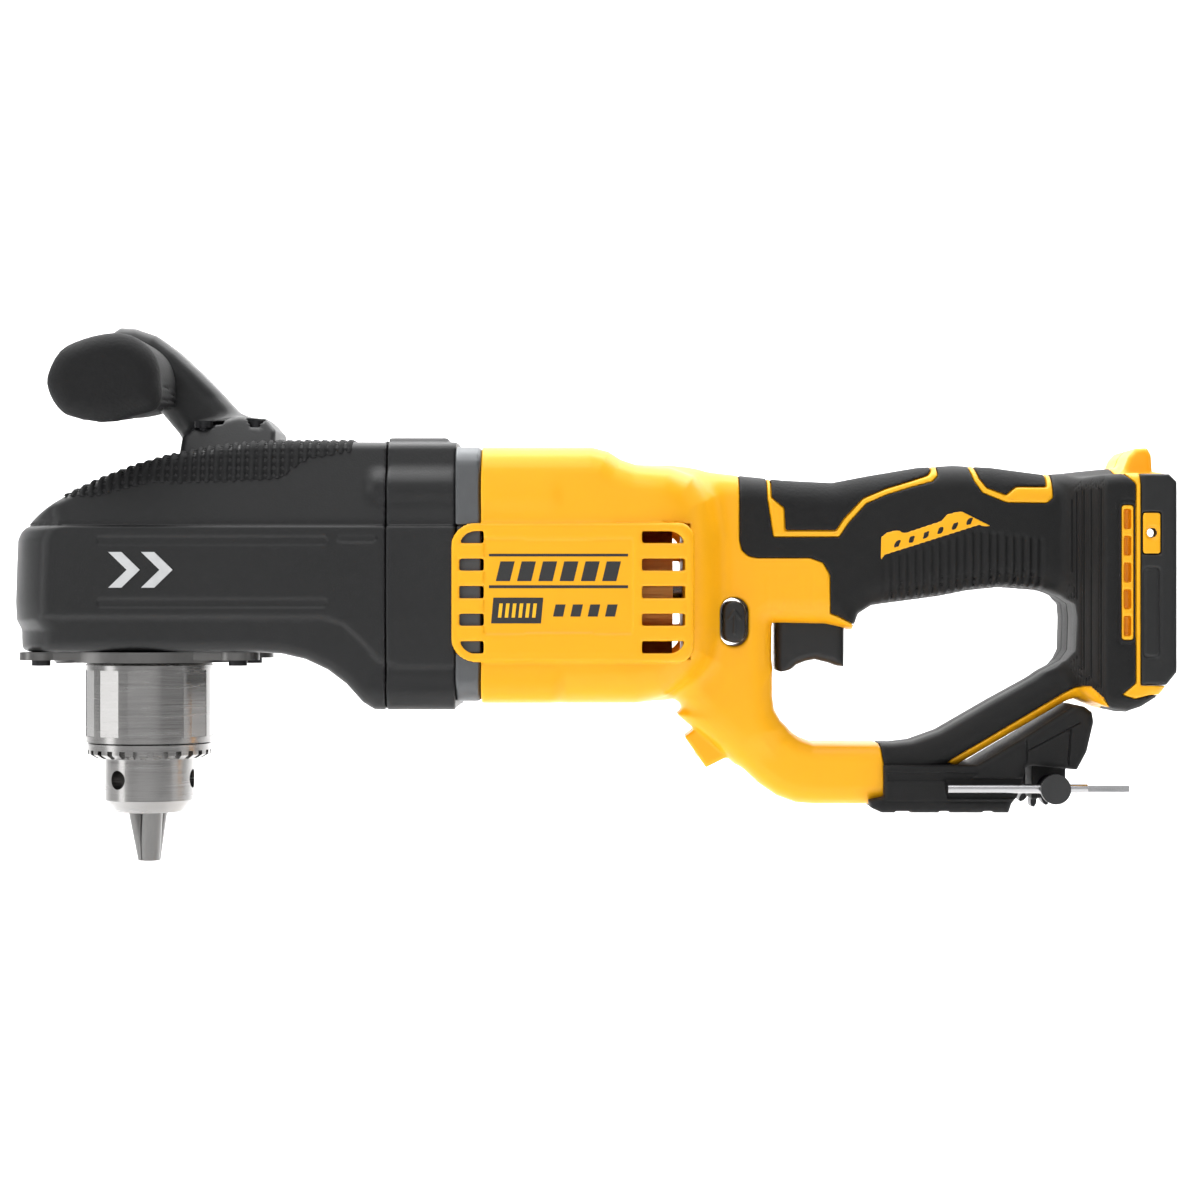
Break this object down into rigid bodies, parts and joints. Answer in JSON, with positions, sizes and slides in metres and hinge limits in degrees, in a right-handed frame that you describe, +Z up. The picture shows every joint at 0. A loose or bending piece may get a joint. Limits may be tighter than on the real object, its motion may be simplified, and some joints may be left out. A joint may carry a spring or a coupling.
{
  "type": "right-angle cordless drill",
  "caption": "Compact right-angle drill for drilling between studs and joists, with a keyed chuck, geared head, top handle, closed rear handle, slide-on battery dock and stored chuck key.",
  "frame": {"origin": "on the spindle axis at the tip of the closed chuck jaws", "axes": "+Z up from the jaws to the head, +X from the head to the battery dock, -Y the tool's left side"},
  "size_m": [0.4506, 0.098, 0.2095],
  "materials": {
    "black_cast": "satin black case paint",
    "grey_cast": "satin cast",
    "rubber_black": "soft overmould",
    "plastic_yellow": "moulded nylon",
    "plastic_black": "moulded nylon",
    "steel_bright": "turned and ground",
    "steel_gear": "machined, oiled",
    "steel_screw": "black oxide",
    "lamination": "varnished steel sheets",
    "copper": "enamelled wire",
    "contact": "plated spring contact",
    "board": "potted circuit board",
    "lens": "clear lamp window"
  },
  "bodies": {
    "drill_frame": {"gearcase_front": "black_cast", "gearcase_rear": "black_cast", "bearing_plate": "grey_cast", "base_plate": "grey_cast", "base_screws": "steel_screw", "top_pad": "rubber_black", "handle_saddle": "black_cast", "side_handle_grip": "rubber_black", "saddle_screws": "steel_screw", "spindle_bearings": "steel_bright", "idler_bearings": "steel_bright", "crown_bearings": "steel_bright", "bearing_carrier": "grey_cast", "crown_bridge": "grey_cast", "stator": "lamination", "windings": "copper", "motor_bearings": "steel_bright", "housing_left": "plastic_yellow", "housing_right": "plastic_yellow", "overmould_left": "rubber_black", "overmould_right": "rubber_black", "housing_screws": "steel_screw", "gearcase_screws": "steel_screw", "trigger_switch": "plastic_black", "controller": "board", "led_lamp": "lens", "rail_cover_left": "plastic_black", "rail_cover_right": "plastic_black", "rail_screws": "steel_screw", "terminal_block": "plastic_black", "terminals": "contact", "grip_pad_front": "rubber_black", "grip_pad_rear": "rubber_black", "key_holder": "plastic_black"},
    "spindle_set": {"spindle": "steel_bright", "spindle_gear": "steel_gear", "chuck_body": "steel_bright", "chuck_screw": "steel_screw"},
    "sleeve_set": {"chuck_sleeve": "steel_bright", "chuck_nut": "steel_gear"},
    "jaw_a": {"jaw_1": "steel_bright"},
    "jaw_b": {"jaw_2": "steel_bright"},
    "jaw_c": {"jaw_3": "steel_bright"},
    "idler_set": {"idler_shaft": "steel_gear", "idler_gear": "steel_gear"},
    "crown_set": {"crown_shaft": "steel_gear", "crown_gear": "steel_gear"},
    "rotor_set": {"rotor_shaft": "steel_bright", "rotor_core": "lamination", "cooling_fan": "plastic_black", "motor_pinion": "steel_gear"},
    "trigger_set": {"trigger": "plastic_black"},
    "button_set": {"direction_button": "plastic_black"},
    "key_set": {"chuck_key": "steel_bright", "key_bar": "steel_bright", "key_cap": "plastic_black"}
  },
  "joints": [
    {"name": "spindle_spin", "type": "hinge", "parent": "drill_frame", "child": "spindle_set", "pos_m": [0, 0, 0], "axis": [0, 0, 1], "continuous": true},
    {"name": "idler_spin", "type": "hinge", "parent": "drill_frame", "child": "idler_set", "pos_m": [0.042, 0, 0], "axis": [0, 0, 1], "continuous": true},
    {"name": "crown_spin", "type": "hinge", "parent": "drill_frame", "child": "crown_set", "pos_m": [0.072, 0, 0], "axis": [0, 0, 1], "continuous": true},
    {"name": "rotor_spin", "type": "hinge", "parent": "drill_frame", "child": "rotor_set", "pos_m": [0.15, 0, 0.107], "axis": [1, 0, 0], "continuous": true},
    {"name": "sleeve_turn", "type": "hinge", "parent": "spindle_set", "child": "sleeve_set", "pos_m": [0, 0, 0], "axis": [0, 0, 1], "range_deg": [0, 5400]},
    {"name": "jaw_1_slide", "type": "slide", "parent": "spindle_set", "child": "jaw_a", "axis": [0.0804, -0.1806, 0.9803], "range_m": [0, 0.03151]},
    {"name": "jaw_2_slide", "type": "slide", "parent": "spindle_set", "child": "jaw_b", "axis": [0.1162, 0.1599, 0.9803], "range_m": [0, 0.03151]},
    {"name": "jaw_3_slide", "type": "slide", "parent": "spindle_set", "child": "jaw_c", "axis": [-0.1966, 0.0207, 0.9803], "range_m": [0, 0.03151]},
    {"name": "trigger_pull", "type": "slide", "parent": "drill_frame", "child": "trigger_set", "axis": [0, 0, 1], "range_m": [0, 0.0065], "stiffness_N_per_m": 800, "springref_m": -0.002},
    {"name": "direction_shift", "type": "slide", "parent": "drill_frame", "child": "button_set", "axis": [0, 1, 0], "range_m": [-0.0025, 0.0025]},
    {"name": "key_release", "type": "slide", "parent": "drill_frame", "child": "key_set", "axis": [0, 0, -1], "range_m": [0, 0.03]}
  ],
  "couplings": [
    {"joint": "idler_spin", "follows": "spindle_spin", "ratio": -3.6667},
    {"joint": "crown_spin", "follows": "spindle_spin", "ratio": 11},
    {"joint": "rotor_spin", "follows": "spindle_spin", "ratio": -33},
    {"joint": "jaw_1_slide", "follows": "sleeve_turn", "m_per_rad": 0.00033423},
    {"joint": "jaw_2_slide", "follows": "sleeve_turn", "m_per_rad": 0.00033423},
    {"joint": "jaw_3_slide", "follows": "sleeve_turn", "m_per_rad": 0.00033423}
  ]
}
